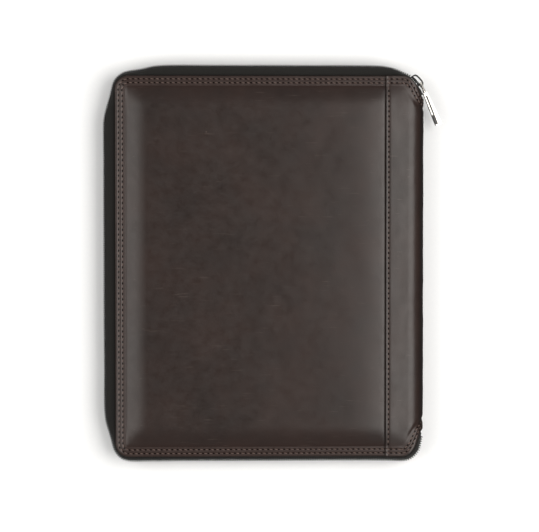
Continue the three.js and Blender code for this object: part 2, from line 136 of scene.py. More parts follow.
# Tape: its middle from the faces that it lies against, its bend short of the coil, its hidden hem
TAPE_MIDDLE = 0.45 * MM
TAPE_BEND = 0.55 * MM
TAPE_HEM = 0.4 * MM
TAPE_ROWS = 17
SLIDER_LENGTH = 12.8 * MM
SLIDER_TURN = math.radians(-47)
SLIDER_MIDDLE = Vector((SPINE - 0.4 * NOTCH_WIDTH, TOP - 0.31 * NOTCH_TOP))
SLIDER_ALONG = Vector((math.cos(SLIDER_TURN), math.sin(SLIDER_TURN)))
SLIDER_OUT = Vector((-SLIDER_ALONG.y, SLIDER_ALONG.x))

# Pull tab, from its pin, which sits along and out of the slider
PIN_ALONG = 3.2 * MM
PIN_OUT = 3.53 * MM
PULL_PIN = SLIDER_MIDDLE + SLIDER_ALONG * PIN_ALONG + SLIDER_OUT * PIN_OUT
PULL_TURN = math.radians(-66.3)
PULL_LEAN = math.radians(-20)
PULL_TAPER = math.radians(-2.26)
# Plates of painted shade in its slot and on its end, in mm: middle along, across and up, then length, width
# and depth.
PULL_SHADE_PLATES = (
    (20.94, -0.57, 0.4, 18.2, 1.62, 0.5), (33.8, -1.7, 1.12, 8.6, 2.3, 0.6),
)

# Rows of (share along the side, share of the gusset bulge)
TOP_BULGE = (
    (0, 0.2), (0.033, 0.52), (0.06, 0.67), (0.09, 0.75), (0.15, 0.77), (0.32, 0.78), (0.5, 0.78),
    (0.68, 0.78), (0.85, 0.78), (0.91, 0.7), (0.94, 0.54), (0.97, 0.4), (1, 0.31),
)
LEFT_BULGE = (
    (0, 0.22), (0.02, 0.37), (0.042, 0.55), (0.06, 0.7), (0.078, 0.82), (0.104, 0.88), (0.2, 0.87),
    (0.35, 0.87), (0.5, 0.86), (0.65, 0.86), (0.8, 0.84), (0.9, 0.84), (0.94, 0.72), (0.96, 0.56),
    (0.98, 0.38), (1, 0.22),
)
BOTTOM_BULGE = (
    (0, 0.33), (0.06, 0.33), (0.2, 0.31), (0.4, 0.31), (0.6, 0.31), (0.8, 0.31), (0.95, 0.34), (1, 0.38),
)
TOP_CORNER_BULGE = (0.25, 0.21, 0.2)
BOTTOM_CORNER_BULGE = (0.19, 0.22, 0.29)
# Rows of (notch point, share of the slider length, inward share of the bulge, tape edge height share)
SLIDER_STATIONS = (
    (2, 0.9, 0.12, 0.3), (3, 0.72, 0.07, 0.6), (4, 0.43, 0, 0.9), (5, 0.195, 0, 1),
    (6, -0.02, 0, 1), (7, -0.36, 0, 1), (8, -0.64, 0, 1),
)
# Rows of (notch point, share of the bulge, tape edge height share)
LOWER_NOTCH = (
    (8, 0.46, 1), (7, 0.5, 1), (6, 0.5, 1), (5, 0.44, 1), (4, 0.36, 0.9), (3, 0.27, 0.6), (2, 0.2, 0.3),
)

# Image in pixels, and the place in it that the camera's axis meets
FRAME = (539, 532)
AXIS = (269.4, 266.2)
FLOOR_HALF = 4.0
FLOOR_GAP = 0.2 * MM
SOFTBOX_DISTANCE = 1.6
# Softboxes: lean to the right in degrees, radiance, size in metres, swing towards the top edge in degrees
SOFTBOXES = (
    ("right", 34, 3.9, (1.26, 1.5), 0),
    ("left", -45, 2.6, (0.9, 1.5), 0),
    ("left_edge", -22, 0.8, (0.42, 1.5), 0),
    ("low", 76, 2.2, (0.3, 0.4), 34),
)

# sRGB colours that aren't settings: marks on the leather, the dark of its cut edges, which also paints shade
# round the spine's fold, painted shade in the needle holes, and the darker share of each other finish
SCUFF, DARK_EDGE_AND_FOLD_SHADE = "#7d7068", "#0b0706"
THREAD_SHADE, HOLE_SHADE_DEPTH, HOLE_SHADE_RIM = "#3f2d28", "#020101", "#0c0706"
TAPE_SHADE, COIL_SHADE = "#171614", "#050505"
NICKEL_SHADE, LACQUER_SHADE, PAPER_SHADE = "#b4b1ac", "#0d0d0c", "#f8fafc"


class LeatherSettings(bpy.types.PropertyGroup):
    """Colours and relief of the oiled leather."""

    face: bpy.props.StringProperty(
        name="Face", description="sRGB colour of the oiled face", default="#281a15"
    )
    deep: bpy.props.StringProperty(
        name="Deep", description="sRGB colour of its darker clouds", default="#201511"
    )
    warm: bpy.props.StringProperty(
        name="Warm", description="sRGB colour of borders and folds", default="#2e1e19"
    )
    grain: bpy.props.FloatProperty(
        name="Grain", description="Width of a grain pebble", default=0.0013, unit="LENGTH"
    )
    roughness: bpy.props.FloatProperty(
        name="Roughness", description="Roughness of the oiled face", default=0.33, min=0, max=1,
        subtype="FACTOR",
    )
    waviness: bpy.props.FloatProperty(
        name="Waviness", description="Height of the soft unevenness of the padding", default=0.00016,
        unit="LENGTH",
    )


class StitchSettings(bpy.types.PropertyGroup):
    """Rows of lockstitch along the borders and the seam."""

    outer_row: bpy.props.FloatProperty(
        name="Outer row", description="Outer border row, from the edge", default=0.003, unit="LENGTH"
    )
    inner_row: bpy.props.FloatProperty(
        name="Inner row", description="Inner border row, from the edge", default=0.0063, unit="LENGTH"
    )
    seam_row: bpy.props.FloatProperty(
        name="Seam row", description="Seam row, from the strip's raw edge", default=0.0025, unit="LENGTH"
    )
    border_pitch: bpy.props.FloatProperty(
        name="Border pitch", description="Stitch length on the borders", default=0.0046, unit="LENGTH"
    )
    seam_pitch: bpy.props.FloatProperty(
        name="Seam pitch", description="Stitch length on the seam", default=0.00435, unit="LENGTH"
    )
    thread: bpy.props.FloatProperty(
        name="Thread", description="Width of the waxed thread", default=0.00085, unit="LENGTH"
    )
    thread_colour: bpy.props.StringProperty(
        name="Thread colour", description="sRGB colour of the thread", default="#75625a"
    )
    groove: bpy.props.FloatProperty(
        name="Groove", description="Depth to which a row pulls the leather down", default=0.0004,
        unit="LENGTH",
    )


class ZipSettings(bpy.types.PropertyGroup):
    """Woven tape and nylon coil."""

    tape: bpy.props.StringProperty(name="Tape", description="sRGB colour of the tape", default="#201f1d")
    coil: bpy.props.StringProperty(name="Coil", description="sRGB colour of the coil", default="#0b0b0b")
    tooth_pitch: bpy.props.FloatProperty(
        name="Tooth pitch", description="Distance between neighbouring teeth", default=0.00193, unit="LENGTH"
    )
    rib_pitch: bpy.props.FloatProperty(
        name="Rib pitch", description="Spacing of the tape's woven ribs", default=0.0009, unit="LENGTH"
    )
    tape_wall: bpy.props.FloatProperty(
        name="Tape wall", description="Thickness of the tape", default=0.0007, unit="LENGTH"
    )


class MetalSettings(bpy.types.PropertyGroup):
    """Lacquered slider and nickel-plated pull tab."""

    lacquer: bpy.props.StringProperty(
        name="Lacquer", description="sRGB colour of the slider", default="#1b1b1a"
    )
    colour: bpy.props.StringProperty(
        name="Colour", description="sRGB colour of the nickel", default="#d5d3cf"
    )
    roughness: bpy.props.FloatProperty(
        name="Roughness", description="Roughness of the plating", default=0.14, min=0, max=1,
        subtype="FACTOR",
    )
    edge: bpy.props.FloatProperty(
        name="Edge", description="Rounding of the cast edges", default=0.00038, unit="LENGTH"
    )


class StageSettings(bpy.types.PropertyGroup):
    """Floor, lights and camera."""

    floor: bpy.props.StringProperty(name="Floor", description="sRGB colour of the floor", default="#fdfeff")
    distance: bpy.props.FloatProperty(
        name="Distance", description="Camera distance", default=2.0, unit="LENGTH"
    )
    lens: bpy.props.FloatProperty(
        name="Lens", description="Focal length in millimetres", default=154.2, unit="CAMERA"
    )
    turn: bpy.props.FloatProperty(
        name="Turn", description="Camera angle towards the left side", default=math.radians(1.9),
        subtype="ANGLE",
    )
    tilt: bpy.props.FloatProperty(
        name="Tilt", description="Camera angle towards the top edge", default=math.radians(2.1),
        subtype="ANGLE",
    )


def mix(a, b, share):
    return a + (b - a) * share


def clamp01(value):
    return min(1.0, max(0.0, value))


def bell(distance, width):
    """1 at a distance of 0, falling off smoothly over the width."""
    return math.exp(-((distance / width) ** 2))


def spaced(*runs):
    """Places from a first value through runs of (end, number of equal steps)."""
    places = [runs[0]]
    for end, steps in runs[1:]:
        start = places[-1]
        places += [mix(start, end, (step + 1) / steps) for step in range(steps)]
    return places


def padding(distance):
    return math.sin(clamp01((distance - BORDER) / SHOULDER) * math.pi / 2)


def end_padding(y):
    return padding(TOP - y) * padding(y - BOTTOM)


def edge_distance(x, y):
    """Distance of a place on a cover from its rounded outline, the spine side left out."""
    from_left = x - LEFT
    from_end = min(TOP - y, y - BOTTOM)
    if from_left < CORNER and from_end < CORNER:
        return CORNER - math.hypot(CORNER - from_left, CORNER - from_end)
    return min(from_left, from_end)


def wrapped_corner(x, y):
    """Bends the square corner of a grid round, so that its lines stay parallel to the outline."""
    across = CORNER - (x - LEFT)
    along = CORNER - min(TOP - y, y - BOTTOM)
    if across <= 0 or along <= 0:
        return x, y
    shrink = max(across, along) / math.hypot(across, along)
    middle = TOP - CORNER if y > 0 else BOTTOM + CORNER
    sign = 1 if y > 0 else -1
    return LEFT + CORNER - across * shrink, middle + sign * along * shrink


def rounded_edge(distance, radius):
    """Drop of a turned leather edge below its face."""
    if distance >= radius:
        return 0.0
    return radius - math.sqrt(max(0.0, radius**2 - (radius - distance) ** 2))


def dent(distance, size):
    depth, width = size
    return depth * bell(distance, width)


def swell(x, y, seed, width):
    """Smooth unevenness, about -1 to 1, in waves of the width."""
    return noise.noise(Vector((x, y, seed)) / width)


def cover_height(x, y, side):
    """Height of a cover's outer face above the middle plane."""
    stitches = bpy.context.scene.case_stitches
    leather = bpy.context.scene.case_leather
    ease = SEAM_EASE_FRONT if side > 0 else SEAM_EASE_BACK
    face = CROWN_HEIGHT if side > 0 else MID
    to_seam = max(0.0, (x - (SEAM - ease)) / ease)
    if side > 0:
        to_seam = SEAM_EARLY * to_seam**2 + (1 - SEAM_EARLY) * to_seam**6
    else:
        to_seam = clamp01(to_seam) ** 2 * (3 - 2 * clamp01(to_seam))
    level = mix(face, SEAM_HEIGHT, to_seam)
    rise = padding(x - LEFT) * end_padding(y)
    height = mix(BORDER_HEIGHT, level, rise)
    distance = edge_distance(x, y)
    height -= rounded_edge(distance, COVER_TURN)
    for row in (stitches.outer_row, stitches.inner_row):
        height -= stitches.groove * bell(distance - row, GROOVE_WIDTH)
    height -= dent(distance - BORDER, BORDER_DENT)
    if side > 0:
        soft = swell(x, y, 0, 46 * MM) + 0.5 * swell(x, y, 3, 19 * MM)
        height += leather.waviness * soft * rise
        height -= dent(x - SEAM, SEAM_DENT) * rise
    return height


def cover_point(x, y, side):
    return Vector((x, y, MID + side * cover_height(x, y, side)))


def notch_run(across):
    """Place along the strip's section of a share of the notch width from the spine."""
    x = SPINE - across * NOTCH_WIDTH
    if x <= FOLD:
        return x - SEAM
    return FOLD - SEAM + FOLD_RUN * math.asin(min(1.0, (x - FOLD) / FOLD_REACH)) / (math.pi / 2)


def strip_end_line(depth, edge):
    """The cut end of the strip as points (run along the section, y), from the seam to the spine."""
    sign = 1 if edge > 0 else -1
    line = [(0.0, edge)]
    for across, along in reversed(NOTCH_LINE):
        line.append((notch_run(across), edge - sign * depth * (1 - along)))
    return line


UPPER_END = strip_end_line(NOTCH_TOP, TOP)
LOWER_END = strip_end_line(NOTCH_BOTTOM, BOTTOM)


def along_line(line, run):
    for (run_a, y_a), (run_b, y_b) in zip(line, line[1:]):
        if run <= run_b:
            return mix(y_a, y_b, (run - run_a) / max(run_b - run_a, 1e-9))
    return line[-1][1]


def line_distance(line, run, y):
    """Distance from a place on the strip to the line, both laid flat."""
    place = Vector((run, y))
    nearest = 1.0
    for a, b in zip(line, line[1:]):
        start, end = Vector(a), Vector(b)
        span = end - start
        share = clamp01((place - start).dot(span) / max(span.length_squared, 1e-12))
        nearest = min(nearest, (place - start - span * share).length)
    return nearest


def strip_distance(run, y):
    return min(line_distance(UPPER_END, run, y), line_distance(LOWER_END, run, y))


def strip_height(y):
    return mix(BORDER_HEIGHT, SEAM_HEIGHT, end_padding(y)) + GAP + SPINE_WALL


def folded_run(run):
    """Distance along the strip's section from the nearer of its two seams."""
    return min(run, 2 * STRIP_HALF - run)


def strip_point(run, y, lift=0.0):
    """Point of the strip: run goes from the front seam over the spine to the back seam."""
    side = 1 if run <= STRIP_HALF else -1
    half_run = folded_run(run)
    height = strip_height(y)
    flat = FOLD - SEAM
    if side > 0:
        height -= STRIP_SINK * half_run / flat * end_padding(y)
    if half_run <= flat:
        return Vector((SEAM + half_run, y, MID + side * (height + lift)))
    angle = (half_run - flat) / FOLD_RUN * math.pi / 2
    reach = FOLD_REACH + FOLD_CLEARANCE + lift
    return Vector((FOLD + reach * math.sin(angle), y, MID + side * (height + lift) * math.cos(angle)))


def strip_relief(run, y):
    """Height of the strip's leather over its plain form."""
    stitches = bpy.context.scene.case_stitches
    leather = bpy.context.scene.case_leather
    half_run = folded_run(run)
    distance = strip_distance(half_run, y)
    relief = -rounded_edge(min(distance, half_run), STRIP_TURN)
    for row in (stitches.outer_row, stitches.inner_row):
        relief -= stitches.groove * bell(distance - row, GROOVE_WIDTH)
    relief -= stitches.groove * bell(half_run - stitches.seam_row, SEAM_GROOVE_WIDTH)
    # leather gathered round each notch
    past_notch = clamp01((half_run - notch_run(1) + 4 * MM) / (8 * MM))
    by_end = past_notch * bell(distance - 9 * MM, 2.2 * MM)
    relief -= 0.8 * MM * by_end * (0.8 + 0.5 * swell(half_run, y, 5, 9 * MM))
    # soft waves on the front and round the fold
    if run < STRIP_HALF * 1.2:
        soft = swell(half_run, y, 9, 30 * MM) + 0.6 * swell(half_run, y, 2, 11 * MM)
        away = clamp01((half_run - 4 * MM) / (8 * MM))
        relief += 1.6 * leather.waviness * soft * away
    return relief


def linear(colour):
    """Linear red, green, blue and alpha of an sRGB hex colour."""
    parts = [int(colour[place:place + 2], 16) / 255 for place in (1, 3, 5)]
    return tuple(p / 12.92 if p <= 0.04045 else ((p + 0.055) / 1.055) ** 2.4 for p in parts) + (1.0,)


def add_node(tree, kind, inputs=None, **settings):
    """Adds a node with its settings, and sets or links its inputs."""
    node = tree.nodes.new(kind)
    for key, value in settings.items():
        setattr(node, key, value)
    for key, value in (inputs or {}).items():
        if isinstance(value, bpy.types.NodeSocket):
            tree.links.new(value, node.inputs[key])
        else:
            node.inputs[key].default_value = value
    return node


def new_material(name, roughness, metallic=0.0, ior=None):
    material = bpy.data.materials.new(name)
    material.use_nodes = True
    tree = material.node_tree
    shader = tree.nodes["Principled BSDF"]
    shader.inputs["Roughness"].default_value = roughness
    shader.inputs["Metallic"].default_value = metallic
    if ior is not None:
        shader.inputs["IOR"].default_value = ior
    return material, tree, shader


def millimetres(tree):
    """Object coordinates counted in millimetres."""
    place = add_node(tree, "ShaderNodeTexCoord").outputs["Object"]
    counted = add_node(tree, "ShaderNodeMapping", {"Vector": place, "Scale": (1000, 1000, 1000)})
    return counted.outputs["Vector"]


def clouded(tree, shader, place, scale, shade, colour, detail=2):
    """Colours the surface in soft clouds between its shade and its colour."""
    clouds = add_node(tree, "ShaderNodeTexNoise", {"Vector": place, "Scale": scale, "Detail": detail})
    mixed = add_node(
        tree, "ShaderNodeMix",
        {"Factor": clouds.outputs["Fac"], "A": linear(shade), "B": linear(colour)}, data_type="RGBA",
    )
    tree.links.new(mixed.outputs["Result"], shader.inputs["Base Color"])


def oiled_leather():
    """Vegetable-tanned leather, oiled and waxed: brown clouds, a low sheen, warm borders and folds."""
    settings = bpy.context.scene.case_leather
    material, tree, shader = new_material("oiled_leather", settings.roughness, ior=1.46)
    place = millimetres(tree)
    clouds = add_node(
        tree, "ShaderNodeTexNoise", {"Vector": place, "Scale": 1 / 38, "Detail": 4, "Roughness": 0.6}
    )
    cloud_share = add_node(
        tree, "ShaderNodeMapRange",
        {"Value": clouds.outputs["Fac"], "From Min": 0.35, "From Max": 0.65, "To Min": 0, "To Max": 1},
    )
    face = add_node(
        tree, "ShaderNodeMix",
        {"Factor": cloud_share.outputs["Result"], "A": linear(settings.deep), "B": linear(settings.face)},
        data_type="RGBA",
    )
    wear = add_node(tree, "ShaderNodeAttribute", attribute_name="wear", attribute_type="GEOMETRY")
    rub = add_node(
        tree, "ShaderNodeTexNoise", {"Vector": place, "Scale": 1 / 7, "Detail": 5, "Roughness": 0.65}
    )
    rub_share = add_node(
        tree, "ShaderNodeMapRange",
        {"Value": rub.outputs["Fac"], "From Min": 0.3, "From Max": 0.7, "To Min": 0.6, "To Max": 1},
    )
    worn = add_node(
        tree, "ShaderNodeMath", {0: wear.outputs["Fac"], 1: rub_share.outputs["Result"]}, operation="MULTIPLY"
    )
    warmed = add_node(
        tree, "ShaderNodeMix",
        {"Factor": worn.outputs["Value"], "A": face.outputs["Result"], "B": linear(settings.warm)},
        data_type="RGBA",
    )
    # a few pale specks and short scuffs, as on a used face
    specks = add_node(tree, "ShaderNodeTexVoronoi", {"Vector": place, "Scale": 1 / 34, "Randomness": 1})
    speck = add_node(
        tree, "ShaderNodeMapRange",
        {
            "Value": specks.outputs["Distance"], "From Min": 0.008, "From Max": 0.022,
            "To Min": 0.35, "To Max": 0,
        },
    )
    stretched = add_node(
        tree, "ShaderNodeMapping",
        {"Vector": place, "Scale": (1 / 22, 1 / 1.6, 1), "Rotation": (0, 0, math.radians(28))},
    )
    scuffs = add_node(
        tree, "ShaderNodeTexNoise",
        {"Vector": stretched.outputs["Vector"], "Scale": 1, "Detail": 3, "Roughness": 0.5},
    )
    scuff = add_node(
        tree, "ShaderNodeMapRange",
        {"Value": scuffs.outputs["Fac"], "From Min": 0.66, "From Max": 0.8, "To Min": 0, "To Max": 0.16},
    )
    pale = add_node(
        tree, "ShaderNodeMath", {0: speck.outputs["Result"], 1: scuff.outputs["Result"]}, operation="ADD"
    )
    marked = add_node(
        tree, "ShaderNodeMix",
        {"Factor": pale.outputs["Value"], "A": warmed.outputs["Result"], "B": linear(SCUFF)},
        data_type="RGBA",
    )
    # the cut edges' own dark colour, and painted shade round the spine's fold, mixed in by one attribute
    dark_edge_and_fold_shade = add_node(tree, "ShaderNodeAttribute", attribute_name="dark_edge_and_fold_shade", attribute_type="GEOMETRY")
    edge_and_fold_darkened = add_node(
        tree, "ShaderNodeMix",
        {"Factor": dark_edge_and_fold_shade.outputs["Fac"], "A": marked.outputs["Result"], "B": linear(DARK_EDGE_AND_FOLD_SHADE)},
        data_type="RGBA",
    )
    tree.links.new(edge_and_fold_darkened.outputs["Result"], shader.inputs["Base Color"])
    sheen = add_node(
        tree, "ShaderNodeMapRange",
        {
            "Value": rub.outputs["Fac"], "From Min": 0.3, "From Max": 0.7,
            "To Min": settings.roughness - 0.05, "To Max": settings.roughness + 0.06,
        },
    )
    tree.links.new(sheen.outputs["Result"], shader.inputs["Roughness"])
    # pebbles are drawn a little wider than life so that they show
    pebbles = add_node(
        tree, "ShaderNodeTexVoronoi",
        {"Vector": place, "Scale": MM / settings.grain, "Randomness": 1}, feature="SMOOTH_F1",
    )
    creases = add_node(
        tree, "ShaderNodeTexNoise", {"Vector": place, "Scale": 1 / 3.2, "Detail": 6, "Roughness": 0.7}
    )
    relief = add_node(
        tree, "ShaderNodeMath", {0: pebbles.outputs["Distance"], 1: 0.4}, operation="MULTIPLY"
    )
    relief = add_node(
        tree, "ShaderNodeMath", {0: relief.outputs["Value"], 1: creases.outputs["Fac"]}, operation="ADD"
    )
    bump = add_node(
        tree, "ShaderNodeBump", {"Height": relief.outputs["Value"], "Strength": 0.22, "Distance": 0.00012}
    )
    tree.links.new(bump.outputs["Normal"], shader.inputs["Normal"])
    return material


def waxed_thread():
    """Twisted polyester thread with a wax finish: warm brown, a dull shine, plies across its length."""
    settings = bpy.context.scene.case_stitches
    material, tree, shader = new_material("waxed_thread", 0.5, ior=1.5)
    place = millimetres(tree)
    clouded(tree, shader, place, 1 / 2.5, THREAD_SHADE, settings.thread_colour)
    plies = add_node(
        tree, "ShaderNodeTexWave", {"Vector": place, "Scale": 1 / 0.9, "Distortion": 0.4},
        bands_direction="DIAGONAL",
    )
    bump = add_node(
        tree, "ShaderNodeBump", {"Height": plies.outputs["Fac"], "Strength": 0.4, "Distance": 0.0001}
    )
    tree.links.new(bump.outputs["Normal"], shader.inputs["Normal"])
    return material


def hole_shade_disc():
    """Painted shade of a punched needle hole: a near-black disc laid over the leather where the hole's depth
    is in shade.
    """
    material, tree, shader = new_material("hole_shade_disc", 1.0, ior=1.05)
    clouded(tree, shader, millimetres(tree), 1 / 1.5, HOLE_SHADE_DEPTH, HOLE_SHADE_RIM)
    return material


def woven_polyester():
    """Woven polyester zip tape: near black, matt, with fine ribs along it."""
    settings = bpy.context.scene.case_zip
    material, tree, shader = new_material("woven_polyester", 0.95, ior=1.4)
    surface = add_node(tree, "ShaderNodeUVMap", uv_map="Surface").outputs["UV"]
    counted = add_node(tree, "ShaderNodeMapping", {"Vector": surface, "Scale": (1000, 1000, 1)})
    place = counted.outputs["Vector"]
    rib = MM / settings.rib_pitch / 2
    warp, weft = (
        add_node(
            tree, "ShaderNodeTexWave", {"Vector": place, "Scale": rib, "Distortion": 0.6},
            bands_direction=direction,
        ).outputs["Fac"]
        for direction in ("Y", "X")
    )
    weave = add_node(tree, "ShaderNodeMath", {0: warp, 1: weft}, operation="MULTIPLY").outputs["Value"]
    fuzz = add_node(tree, "ShaderNodeTexNoise", {"Vector": place, "Scale": 0.35, "Detail": 4})
    tone = add_node(tree, "ShaderNodeMath", {0: weave, 1: fuzz.outputs["Fac"]}, operation="MULTIPLY")
    colour = add_node(
        tree, "ShaderNodeMix",
        {"Factor": tone.outputs["Value"], "A": linear(TAPE_SHADE), "B": linear(settings.tape)},
        data_type="RGBA",
    )
    tree.links.new(colour.outputs["Result"], shader.inputs["Base Color"])
    bump = add_node(tree, "ShaderNodeBump", {"Height": weave, "Strength": 0.5, "Distance": 0.0002})
    tree.links.new(bump.outputs["Normal"], shader.inputs["Normal"])
    shader.inputs["Sheen Weight"].default_value = 0.08
    return material


def nylon_monofilament():
    """Drawn nylon monofilament: flat black, dulled by use until it has next to no shine."""
    settings = bpy.context.scene.case_zip
    material, tree, shader = new_material("nylon_monofilament", 1.0, ior=1.12)
    clouded(tree, shader, millimetres(tree), 1 / 4, COIL_SHADE, settings.coil)
    return material


def polished_nickel():
    """Zinc casting with polished nickel plate: bright, with faint hairline wear."""
    settings = bpy.context.scene.case_metal
    material, tree, shader = new_material("polished_nickel", settings.roughness, metallic=1.0)
    place = millimetres(tree)
    clouded(tree, shader, place, 1 / 5, NICKEL_SHADE, settings.colour, detail=3)
    lines = add_node(tree, "ShaderNodeMapping", {"Vector": place, "Scale": (1 / 0.3, 1 / 9, 1 / 0.3)})
    hairlines = add_node(
        tree, "ShaderNodeTexNoise", {"Vector": lines.outputs["Vector"], "Scale": 1, "Detail": 2}
    )
    haze = add_node(
        tree, "ShaderNodeMapRange",
        {
            "Value": hairlines.outputs["Fac"], "From Min": 0.35, "From Max": 0.7,
            "To Min": settings.roughness - 0.04, "To Max": settings.roughness + 0.1,
        },
    )
    tree.links.new(haze.outputs["Result"], shader.inputs["Roughness"])
    return material


def lacquer_and_painted_shade():
    """Zinc casting under stoved black lacquer: glossy black with a faint bloom; also laid as painted shade in
    the pull tab's slot and on its end.
    """
    settings = bpy.context.scene.case_metal
    material, tree, shader = new_material("lacquer_and_painted_shade", 0.3, ior=1.5)
    clouded(tree, shader, millimetres(tree), 1 / 3, LACQUER_SHADE, settings.lacquer)
    return material


def matt_paper():
    """Matt white paper sweep, with a tooth of 2.5 mm so that it shows."""
    settings = bpy.context.scene.case_stage
    material, tree, shader = new_material("matt_paper", 0.9, ior=1.2)
    place = add_node(tree, "ShaderNodeTexCoord").outputs["Object"]
    clouded(tree, shader, place, 400, PAPER_SHADE, settings.floor)
    return material


def shared(maker):
    """The maker's material, which is named as the maker is and made once."""
    return bpy.data.materials.get(maker.__name__) or maker()


def piece_from(work, name, material, replaced=(), body="case"):
    """Turns a bmesh into a named smooth piece of the case."""
    mesh = bpy.data.meshes.new(name)
    work.to_mesh(mesh)
    work.free()
    mesh.polygons.foreach_set("use_smooth", [True] * len(mesh.polygons))
    mesh.materials.append(material)
    piece = bpy.data.objects.new(name, mesh)
    bpy.context.collection.objects.link(piece)
    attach(piece, body)
    if replaced:
        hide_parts(*replaced)
    return piece


def sheet(columns, rows, place, flip=False):
    """A grid of quads put by place(column value, row value) -> (point, (wear, cut), (u, v) in metres)."""
    work = bmesh.new()
    bmesh.ops.create_grid(work, x_segments=len(columns) - 1, y_segments=len(rows) - 1, size=0.5)
    wear = work.verts.layers.float.new("wear")
    dark_edge_and_fold_shade = work.verts.layers.float.new("dark_edge_and_fold_shade")
    surface = work.loops.layers.uv.new("Surface")
    flat = {}
    for vert in work.verts:
        column = columns[round((vert.co.x + 0.5) * (len(columns) - 1))]
        row = rows[round((vert.co.y + 0.5) * (len(rows) - 1))]
        vert.co, (vert[wear], vert[dark_edge_and_fold_shade]), flat[vert.index] = place(column, row)
    for face in work.faces:
        for loop in face.loops:
            loop[surface].uv = flat[loop.vert.index]
    if flip:
        bmesh.ops.reverse_faces(work, faces=work.faces)
    return work


def repeated(work, places):
    """Copies of a small shape at each of the places, as one bmesh."""
    shape = bpy.data.meshes.new("shape")
    work.to_mesh(shape)
    work.free()
    made = bmesh.new()
    for place in places:
        copy = shape.copy()
        copy.transform(place)
        made.from_mesh(copy)
        bpy.data.meshes.remove(copy)
    bpy.data.meshes.remove(shape)
    return made


def thicken(piece, wall, offset=-1.0):
    solid = piece.modifiers.new("Wall", "SOLIDIFY")
    solid.thickness = wall
    solid.offset = offset


def border_wear(distance):
    """Share of the warm, rubbed colour near a stitched edge."""
    return 0.75 * bell(max(0.0, distance - WARM_BAND), WARM_FALL)


class CASE_OT_covers(bpy.types.Operator):
    """Make the padded front and back covers"""

    bl_idname = "case.covers"
    bl_label = "Covers"

    def execute(self, context):
        fine, shoulder = 24, 20
        xs = spaced(
            LEFT, (LEFT + BORDER_ZONE, fine), (LEFT + SHOULDER_ZONE, shoulder),
            (SEAM - 5 * MM, 50), (SEAM, 10), (PANEL_END, 5),
        )
        ys = spaced(
            BOTTOM, (BOTTOM + BORDER_ZONE, fine), (BOTTOM + SHOULDER_ZONE, shoulder),
            (TOP - SHOULDER_ZONE, 66), (TOP - BORDER_ZONE, shoulder), (TOP, fine),
        )
        for name, side, node in (("front_cover", 1, "front_panel"), ("back_cover", -1, "back_panel")):
            def place(x, y, side=side):
                x, y = wrapped_corner(x, y)
                return cover_point(x, y, side), (border_wear(edge_distance(x, y)), 0.0), (x, y)

            work = sheet(xs, ys, place, flip=side < 0)
            piece = piece_from(work, name, shared(oiled_leather), replaced=(node,))
            thicken(piece, PANEL_WALL)
        return {"FINISHED"}


class CASE_OT_spine(bpy.types.Operator):
    """Make the strip that wraps round the spine"""

    bl_idname = "case.spine"
    bl_label = "Spine strip"

    def execute(self, context):
        half = spaced(0.0, (4 * MM, 10), (notch_run(1), 10), (STRIP_HALF, 34))
        runs = half + [2 * STRIP_HALF - run for run in reversed(half[:-1])]
        # rows count millimetres within a zone at each end, and hundredths of the length between the zones
        zone, last = 32.0, 164.0
        rows = spaced(0.0, (12.0, 24), (zone, 20), (last - zone, 50), (last - 12.0, 20), (last, 24))

        def place(run, row):
            half_run = folded_run(run)
            low, high = along_line(LOWER_END, half_run), along_line(UPPER_END, half_run)
            if row <= zone:
                y = low + row * MM
            elif row >= last - zone:
                y = high - (last - row) * MM
            else:
                y = mix(low + zone * MM, high - zone * MM, (row - zone) / (last - 2 * zone))
            wear = border_wear(strip_distance(half_run, y)) + 0.7 * bell(half_run - STRIP_HALF, 12 * MM)
            # the raw edge is cut dark, and painted shade darkens the strip round the fold, where it turns
            # away from the lights
            dark_edge_and_fold_shade = bell(half_run, 0.2 * MM)
            dark_edge_and_fold_shade += 0.75 * clamp01((half_run - STRIP_HALF + 14 * MM) / (5 * MM))
            return strip_point(run, y, strip_relief(run, y)), (min(1.0, wear), dark_edge_and_fold_shade), (run, y)

        work = sheet(runs, rows, place)
        piece = piece_from(
            work, "spine_strip", shared(oiled_leather), replaced=("spine_panel",)
        )
        thicken(piece, SPINE_WALL)
        return {"FINISHED"}


def leather_underside(x, y):
    """Height of the leather's inner face above the middle plane, where the tapes lie against it."""
    over_panel = BORDER_HEIGHT - PANEL_WALL
    if x <= PANEL_END:
        return over_panel
    turned = clamp01((x - FOLD) / (FOLD_REACH - SPINE_WALL))
    under_strip = (strip_height(y) - SPINE_WALL) * math.sqrt(1 - turned**2)
    past = clamp01((x - PANEL_END - GAP) / (NOTCH - PANEL_END))
    return min(under_strip, mix(over_panel, BORDER_HEIGHT + GAP, past))


def notch_point(row, high):
    depth = NOTCH_TOP if high else NOTCH_BOTTOM
    across, along = NOTCH_LINE[row]
    inset = depth * (1 - along)
    return Vector((SPINE - across * NOTCH_WIDTH, TOP - inset if high else BOTTOM + inset))


